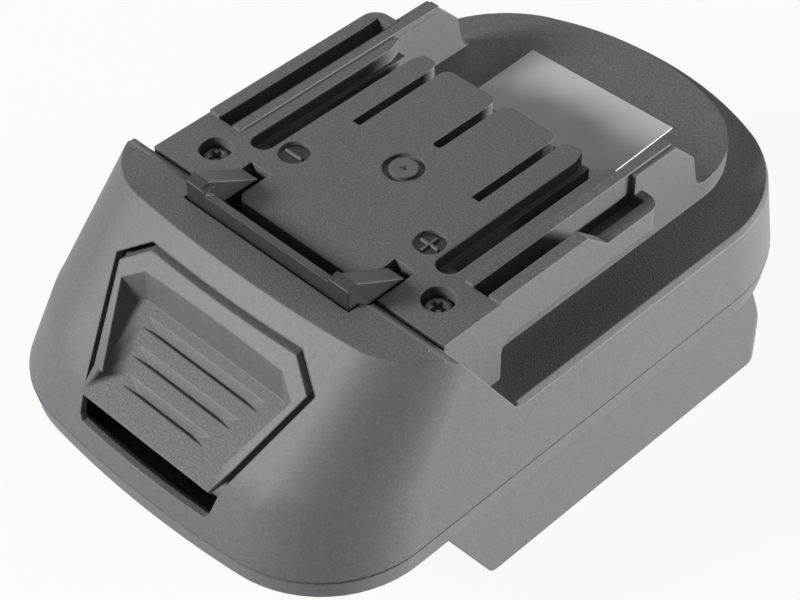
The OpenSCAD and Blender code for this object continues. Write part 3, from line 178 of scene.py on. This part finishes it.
# Moulded epoxy packages: black and dull.
black_epoxy = moulded(
    "black_epoxy", "#191919", "#202020", patch_mm=3.0, rough=0.55,
    grain_mm=0.2, grain_depth_mm=0.006, edge_mm=0.15)
# Shrunk sleeve of the capacitor: dark blue with a clear gloss.
blue_sleeve = moulded(
    "blue_sleeve", "#24304f", "#2b385a", patch_mm=5.0, rough=0.3,
    grain_mm=0.5, grain_depth_mm=0.002, edge_mm=0.2)
dress("circuit_board", green_resist)
dress("power_transistors", black_epoxy)
dress("control_chip", black_epoxy)
dress("storage_capacitor", blue_sleeve)

# Board screws: four small pan heads with a cross recess and a coarse thread for plastic.
# Cold-headed and rolled from steel wire, then zinc plated.


def add_piece(name, points_mm, faces, material, body, sharp=30):
    """A new piece from points in millimetres, riding on a body of the part."""
    mesh = bpy.data.meshes.new(name)
    mesh.from_pydata([Vector(p) / 1000 for p in points_mm], [], faces)
    mesh.validate()
    mesh.shade_smooth()
    mesh.set_sharp_from_angle(angle=math.radians(sharp))
    mesh.materials.append(material)
    made = bpy.data.objects.new(name, mesh)
    bpy.context.scene.collection.objects.link(made)
    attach(made, body)
    return made


def box_mm(node):
    return [corner * 1000 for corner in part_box(node)]


def screw_form(head_r, head_h, shank_r, length, pitch):
    """Points and faces of one screw, head up, with its seat at the origin."""
    count, rows_per_turn = 40, 5
    angles = [2 * math.pi * i / count for i in range(count)]
    # Rings of the pan head, from its seat to the recess, as shares of its radius and height.
    pan = ((1, 0), (1, 0.5), (0.96, 0.7), (0.88, 0.85), (0.77, 0.95), (0.64, 1))
    recess_r, recess_taper, recess_floor = 0.56 * head_r, 0.62, 0.4 * head_h
    arm_angle, slack = math.radians(18), 1e-3
    root_depth, flank_slope = 0.26, 3
    tip_l, tip_r = 1.4 * shank_r, 0.3 * shank_r
    points, faces, rings = [], [], []

    def ring(z, radius):
        rings.append(len(points))
        for angle in angles:
            r = radius(angle)
            points.append((r * math.cos(angle), r * math.sin(angle), z))

    def cross(size):
        def radius(angle):
            turn = (angle + math.pi / 4) % (math.pi / 2) - math.pi / 4
            if abs(turn) < arm_angle + slack:
                return size / math.cos(turn)
            return size * math.tan(arm_angle) / abs(math.sin(turn))
        return radius

    def thread(z):
        def radius(angle):
            phase = (z / pitch + angle / (2 * math.pi)) % 1
            return shank_r * (1 - root_depth * min(1, flank_slope * abs(phase - 0.5)))
        return radius

    rows = math.ceil((length - tip_l) / pitch * rows_per_turn)
    ring(-length, lambda angle: tip_r)
    for i in range(rows, -1, -1):
        z = -(length - tip_l) * i / rows
        ring(z, thread(z))
    for r_share, z_share in pan:
        ring(z_share * head_h, lambda angle, r=r_share * head_r: r)
    ring(head_h, cross(recess_r))
    ring(recess_floor, cross(recess_taper * recess_r))
    for a, b in zip(rings, rings[1:]):
        for i in range(count):
            k = (i + 1) % count
            faces.append((a + i, a + k, b + k, b + i))
    faces.append(tuple(range(count - 1, -1, -1)))
    faces.append(tuple(range(rings[-1], rings[-1] + count)))
    return points, faces


def fit_screws(node, places, turn, form, material, body):
    """Copies of one screw at its places, standing for the plain screws of a CAD node.
    The turn about X is 0 for heads up, 180 for heads down and -90 for heads to the rear."""
    spin = Matrix.Rotation(math.radians(turn), 3, "X")
    points, faces = [], []
    for place in places:
        start = len(points)
        points += [spin @ Vector(p) + Vector(place) for p in form[0]]
        faces += [tuple(start + i for i in face) for face in form[1]]
    made = add_piece(node + "_threaded", points, faces, material, body, sharp=28)
    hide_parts(node)


# Zinc plate over steel: cool grey, bright on the crests and duller in the recess.
zinc_plate = metal(
    "zinc_plate", "#8f9092", "#a4a5a6", patch_mm=2.0, rough=0.35,
    grain_mm=0.25, grain_depth_mm=0.004)
small_head_r, small_head_h, small_r, small_pitch = 1.9, 1.3, 1.0, 0.8
board_screw_x = 20
low, high = box_mm("board_screws")
board_screw_y = low.y + small_head_r, high.y - small_head_r
fit_screws(
    "board_screws",
    [(x, y, high.z - small_head_h) for x in (-board_screw_x, board_screw_x) for y in board_screw_y],
    0, screw_form(small_head_r, small_head_h, small_r, high.z - low.z - small_head_h, small_pitch),
    zinc_plate, "housing")

# Tool contacts: two sprung clips on a black bar under the deck, with a crimped wire each.
# Stamped and bent from plated strip; two screws hold the bar up to bosses of the upper housing.
# Soft vinyl cover of the wires: red and black with a slight sheen.
red_vinyl = moulded(
    "red_vinyl", "#8f1d18", "#9c231d", patch_mm=4.0, rough=0.45,
    grain_mm=0.3, grain_depth_mm=0.004, edge_mm=0.1)
black_vinyl = moulded(
    "black_vinyl", "#161616", "#1d1d1d", patch_mm=4.0, rough=0.45,
    grain_mm=0.3, grain_depth_mm=0.004, edge_mm=0.1)
for name in ("positive_clip", "negative_clip"):
    dress(name, nickel_plate)
dress("clip_holder", black_polyester)
dress("positive_lead", red_vinyl)
dress("negative_lead", black_vinyl)
low, high = box_mm("holder_screws")
fit_screws(
    "holder_screws",
    [(0, y, low.z + small_head_h) for y in (low.y + small_head_r, high.y - small_head_r)],
    180, screw_form(small_head_r, small_head_h, small_r, high.z - low.z - small_head_h, small_pitch),
    zinc_plate, "housing")

# Upper housing: the top shell with the sloped front, the brow, the rail block and the label platform.
# The same charcoal nylon as the base, moulded in one piece.
dress("upper_housing", glass_filled_nylon)

# Terminal marks: a minus and a plus in two shallow round wells of the deck, raised from their floors.
# Moulded with the upper housing; the mould is polished there, so the floors are darker and shinier.


def outline_of(mark, half, reach):
    """Corners of a plus or a minus, counter-clockwise, round its middle."""
    if mark == "minus":
        return [(reach, -half), (reach, half), (-reach, half), (-reach, -half)]
    return [
        (half, -reach), (half, -half), (reach, -half), (reach, half), (half, half), (half, reach),
        (-half, reach), (-half, half), (-reach, half), (-reach, -half), (-half, -half), (-half, -reach)]


# Nylon from a polished mould: without its sandy skin it looks darker and shinier.
polished_nylon = moulded(
    "polished_nylon", "#1e1f20", "#242526", patch_mm=3.0, rough=0.3,
    grain_mm=0.5, grain_depth_mm=0.003, edge_mm=0.1)
deck_z, well_depth, well_off, well_y = 53.1, 0.7, 15.0, -13.6
floor_z = deck_z - well_depth
stroke_half, stroke_reach, stroke_h, stroke_draft = 0.34, 1.95, 0.45, 0.14
# Rings of the dished floor, from its flat middle to the wall: radius and rise.
floor_rings = ((1.6, 0.05), (2.3, 0.06), (2.55, 0.1), (2.66, 0.2))
ring_points = 48
for mark, well_x in (("minus", -well_off), ("plus", well_off)):
    wide = outline_of(mark, stroke_half, stroke_reach)
    slim = outline_of(mark, stroke_half - stroke_draft, stroke_reach - stroke_draft)
    points = [(well_x + x, well_y + y, floor_z) for x, y in wide]
    points += [(well_x + x, well_y + y, floor_z + stroke_h) for x, y in slim]
    count = len(wide)
    faces = [(i, (i + 1) % count, count + (i + 1) % count, count + i) for i in range(count)]
    faces += [tuple(range(count - 1, -1, -1)), tuple(range(count, 2 * count))]
    add_piece(mark + "_mark", points, faces, glass_filled_nylon, "housing", sharp=20)
    points, faces = [(well_x, well_y, floor_z + floor_rings[0][1])], []
    for r, rise in floor_rings:
        start = len(points)
        inner = start - ring_points
        for i in range(ring_points):
            angle = 2 * math.pi * i / ring_points
            points.append((well_x + r * math.cos(angle), well_y + r * math.sin(angle), floor_z + rise))
            k = (i + 1) % ring_points
            faces.append((0, 1 + i, 1 + k) if start == 1 else (inner + i, start + i, start + k, inner + k))
    add_piece(mark + "_well_floor", points, faces, polished_nylon, "housing")

# Gate mark: the rough stub where the plastic entered the mould, in the middle of its ring on the deck.
# Snapped off by hand, so it is a low uneven pip with sharp facets.
gate_y, stub_r, stub_h, peak_off = -4.0, 0.75, 0.22, 0.1
# Corners of the broken edge, as shares of its radius.
broken = (1.0, 0.62, 0.9, 0.55, 1.05, 0.7, 0.85)
corners = len(broken)
points = [(peak_off, gate_y - peak_off, deck_z + stub_h)]
for i, share in enumerate(broken):
    angle, r = 2 * math.pi * i / corners, stub_r * share
    points.append((r * math.cos(angle), gate_y + r * math.sin(angle), deck_z))
faces = [(0, 1 + i, 1 + (i + 1) % corners) for i in range(corners)] + [tuple(range(corners, 0, -1))]
add_piece("gate_stub", points, faces, polished_nylon, "housing", sharp=5)

# Springs: two cylindrical coils of drawn wire between the base and the hook's carrier.
# Wound cold with a closed turn at each end; they stand over pegs of the base and
# close up when the button is pressed; the coils here are drawn at one height only.
coil_turns, wire_r, button_travel = 8, 0.35, 3.5
turn_steps, wire_sides = 36, 10
open_turns, closed_pitch = coil_turns - 2, 2.1 * wire_r
# Drawn spring steel: mid grey with a bright line along each turn.
spring_wire = metal(
    "spring_wire", "#8a8a8a", "#9a9a9a", patch_mm=1.5, rough=0.3,
    grain_mm=0.4, grain_depth_mm=0.003)
for name in ("left_spring", "right_spring"):
    low, high = box_mm(name)
    middle = (low + high) / 2
    coil_r = (high.x - low.x) / 2 - wire_r
    open_pitch = (high.z - low.z - 2 * wire_r - 2 * closed_pitch) / open_turns
    lean = math.atan2(open_pitch, 2 * math.pi * coil_r)
    points, faces = [], []
    for step in range(coil_turns * turn_steps + 1):
        turns = step / turn_steps
        angle = 2 * math.pi * turns
        outward = Vector((math.cos(angle), math.sin(angle), 0))
        along = Vector((-math.sin(angle), math.cos(angle), 0))
        wound = min(max(turns - 1, 0), open_turns)
        climb = (turns - wound) * closed_pitch + wound * open_pitch
        centre = Vector((middle.x, middle.y, low.z + wire_r + climb)) + coil_r * outward
        tilt = lean if 0 < wound < open_turns else 0
        upward = math.cos(tilt) * Vector((0, 0, 1)) - math.sin(tilt) * along
        start = len(points)
        before = start - wire_sides
        for side in range(wire_sides):
            around = 2 * math.pi * side / wire_sides
            points.append(centre + wire_r * (math.cos(around) * outward + math.sin(around) * upward))
            k = (side + 1) % wire_sides
            if step:
                faces.append((before + side, before + k, start + k, start + side))
    faces += [tuple(range(wire_sides - 1, -1, -1)), tuple(range(start, start + wire_sides))]
    coil = add_piece(name + "_coil", points, faces, spring_wire, "housing", sharp=60)
    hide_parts(name)
    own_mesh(coil)

# Latch hook: a U whose two arms and cross bar stand up through the deck.
# Moulded in dark acetal; it slides down with the button and springs up behind the tool's catch.
# Acetal, moulded: smoother than the housings, with a soft sheen; its grit is drawn coarse so that it shows.
# Its lighter speckle is partly painted glint, strongest on faces that look up.
acetal = moulded(
    "acetal", "#2e2f31", "#343537", patch_mm=2.0, rough=0.38,
    grain_mm=0.34, grain_depth_mm=0.014, edge_mm=0.4, speckle_and_glint="#3e3f41")
dress("latch_hook", acetal)

# Release button: the six-sided thumb piece with its scoop and three grip grooves.
# Charcoal nylon like the housings, screwed to the carrier of the hook from behind.
dress("release_button", glass_filled_nylon)
low, high = box_mm("button_screws")
fit_screws(
    "button_screws",
    [(x, high.y - small_head_h, low.z + small_head_r)
     for x in (low.x + small_head_r, high.x - small_head_r)],
    -90, screw_form(small_head_r, small_head_h, small_r, high.y - low.y - small_head_h, small_pitch),
    zinc_plate, "slider")

# Closing screws: four from below through the rim of the base, and two long ones down from the deck.
# Pan heads with a cross recess; the lower four are zinc plated and the two in the deck dark.
head_r, head_h, shank_r, pitch = 2.5, 1.8, 1.45, 1.3
low, high = box_mm("housing_screws")
front_x, front_y = 29, low.y + head_r
rear_x, rear_y = 22.5, high.y - head_r
fit_screws(
    "housing_screws",
    [(side * x, y, low.z + head_h) for x, y in ((front_x, front_y), (rear_x, rear_y)) for side in (-1, 1)],
    180, screw_form(head_r, head_h, shank_r, high.z - low.z - head_h, pitch),
    zinc_plate, "housing")
# Phosphate coat on steel: dark grey and dull, like the plastic round it.
phosphate_coat = metal(
    "phosphate_coat", "#5a5a5c", "#656567", patch_mm=1.0, rough=0.6,
    grain_mm=0.3, grain_depth_mm=0.012)
low, high = box_mm("deck_screws")
fit_screws(
    "deck_screws",
    [(x, low.y + head_r, high.z - head_h) for x in (low.x + head_r, high.x - head_r)],
    0, screw_form(head_r, head_h, shank_r, high.z - low.z - head_h, pitch),
    phosphate_coat, "housing")

# Label: a bare film sticker on the rear platform.
# Die-cut from pale grey polyester film and stuck on a little askew.
# Polyester film with a matt coat: an even pale grey with hardly any sheen.
polyester_film = moulded(
    "polyester_film", "#e6e7e9", "#ebecee", patch_mm=12.0, rough=0.65,
    grain_mm=0.5, grain_depth_mm=0.002, edge_mm=0.1)
dress("label_plate", polyester_film)

# Photo set: a pale paper floor, a soft box in front on the left and a low one behind on the right.
# The camera stands at the photo's place, in front on the right and well above.


def seen_directly(tree, most):
    """The value of most for rays from the camera, a reflection or a clear piece, and 0 for the rest."""
    rays = add_node(tree, "ShaderNodeLightPath").outputs
    total = rays["Is Camera Ray"]
    for other in ("Is Glossy Ray", "Is Transmission Ray"):
        total = add_node(tree, "ShaderNodeMath", {"operation": "MAXIMUM"}, {
            0: total, 1: rays[other]}).outputs[0]
    return add_node(tree, "ShaderNodeMath", {"operation": "MULTIPLY"}, {0: total, 1: most}).outputs[0]


# Matt paper, seen as nearly white with the object's shadow left on it.
paper_half, paper_drop, paper_glow, fibre_mm = 3, 0.0002, 0.93, 25
floor_mesh = bpy.data.meshes.new("floor")
paper_corners = [(x * paper_half, y * paper_half, 0) for x, y in ((-1, -1), (1, -1), (1, 1), (-1, 1))]
floor_mesh.from_pydata(paper_corners, [], [(0, 1, 2, 3)])
floor = bpy.data.objects.new("floor", floor_mesh)
bpy.context.scene.collection.objects.link(floor)
floor.location.z = -paper_drop
paper = bpy.data.materials.new("paper")
paper.use_nodes = True
tree = paper.node_tree
tree.nodes.clear()
fibre = add_node(tree, "ShaderNodeTexNoise", inputs={"Scale": 1000 / fibre_mm, "Detail": 2.0}).outputs["Fac"]
tone = add_node(tree, "ShaderNodeMix", {"data_type": "RGBA"}, {
    0: fibre, 6: linear("#e2e2e2"), 7: linear("#e8e8e8")}).outputs[2]
matt = add_node(tree, "ShaderNodeBsdfDiffuse", inputs={"Color": tone})
glow = add_node(tree, "ShaderNodeEmission", inputs={"Color": linear("#ffffff"), "Strength": 1.0})
both = add_node(tree, "ShaderNodeMixShader", inputs={
    0: seen_directly(tree, paper_glow), 1: matt.outputs["BSDF"], 2: glow.outputs["Emission"]})
add_node(tree, "ShaderNodeOutputMaterial", inputs={"Surface": both.outputs["Shader"]})
floor_mesh.materials.append(paper)

# Studio air: white where it is seen and almost dark as a light, so the boxes shape the part.
world = bpy.data.worlds.new("studio")
world.use_nodes = True
bpy.context.scene.world = world
tree = world.node_tree
tree.nodes.clear()
dim = add_node(tree, "ShaderNodeBackground", inputs={"Color": linear("#ffffff"), "Strength": 0.05})
white = add_node(tree, "ShaderNodeBackground", inputs={"Color": linear("#ffffff"), "Strength": 1.0})
sky = add_node(tree, "ShaderNodeMixShader", inputs={
    0: seen_directly(tree, 1.0), 1: dim.outputs["Background"], 2: white.outputs["Background"]})
add_node(tree, "ShaderNodeOutputWorld", inputs={"Surface": sky.outputs["Shader"]})


def soft_box(name, azimuth, elevation, width, height, watts):
    """A rectangular lamp that faces the middle of the part; azimuth 0 is in front and 90 on the right."""
    aim, distance = Vector((0, 0, 0.03)), 1.2
    lamp = bpy.data.lights.new(name, "AREA")
    lamp.shape = "RECTANGLE"
    lamp.size = width
    lamp.size_y = height
    lamp.energy = watts
    made = bpy.data.objects.new(name, lamp)
    bpy.context.scene.collection.objects.link(made)
    a, e = math.radians(azimuth), math.radians(elevation)
    away = Vector((math.sin(a) * math.cos(e), -math.cos(a) * math.cos(e), math.sin(e)))
    made.location = aim + away * distance
    made.rotation_euler = (-away).to_track_quat("-Z", "Y").to_euler()


soft_box("front_box", azimuth=-29, elevation=27, width=0.4, height=0.24, watts=15)
soft_box("right_box", azimuth=132, elevation=3.2, width=0.6, height=0.15, watts=25)

image_px, focal_px, sensor_mm = 800, 2366.57, 36.0
lens = bpy.data.cameras.new("camera")
lens.sensor_width = sensor_mm
lens.lens = focal_px / image_px * sensor_mm
lens.clip_start = 0.01
camera = bpy.data.objects.new("camera", lens)
bpy.context.scene.collection.objects.link(camera)
turn, tilt = math.radians(44.507), math.radians(44.18)
camera.location = (0.197718, -0.205983, 0.298589)
camera.rotation_euler = Vector((
    -math.sin(turn) * math.cos(tilt), math.cos(turn) * math.cos(tilt), -math.sin(tilt),
)).to_track_quat("-Z", "Y").to_euler()
bpy.context.scene.camera = camera
bpy.context.scene.view_settings.view_transform = "Standard"
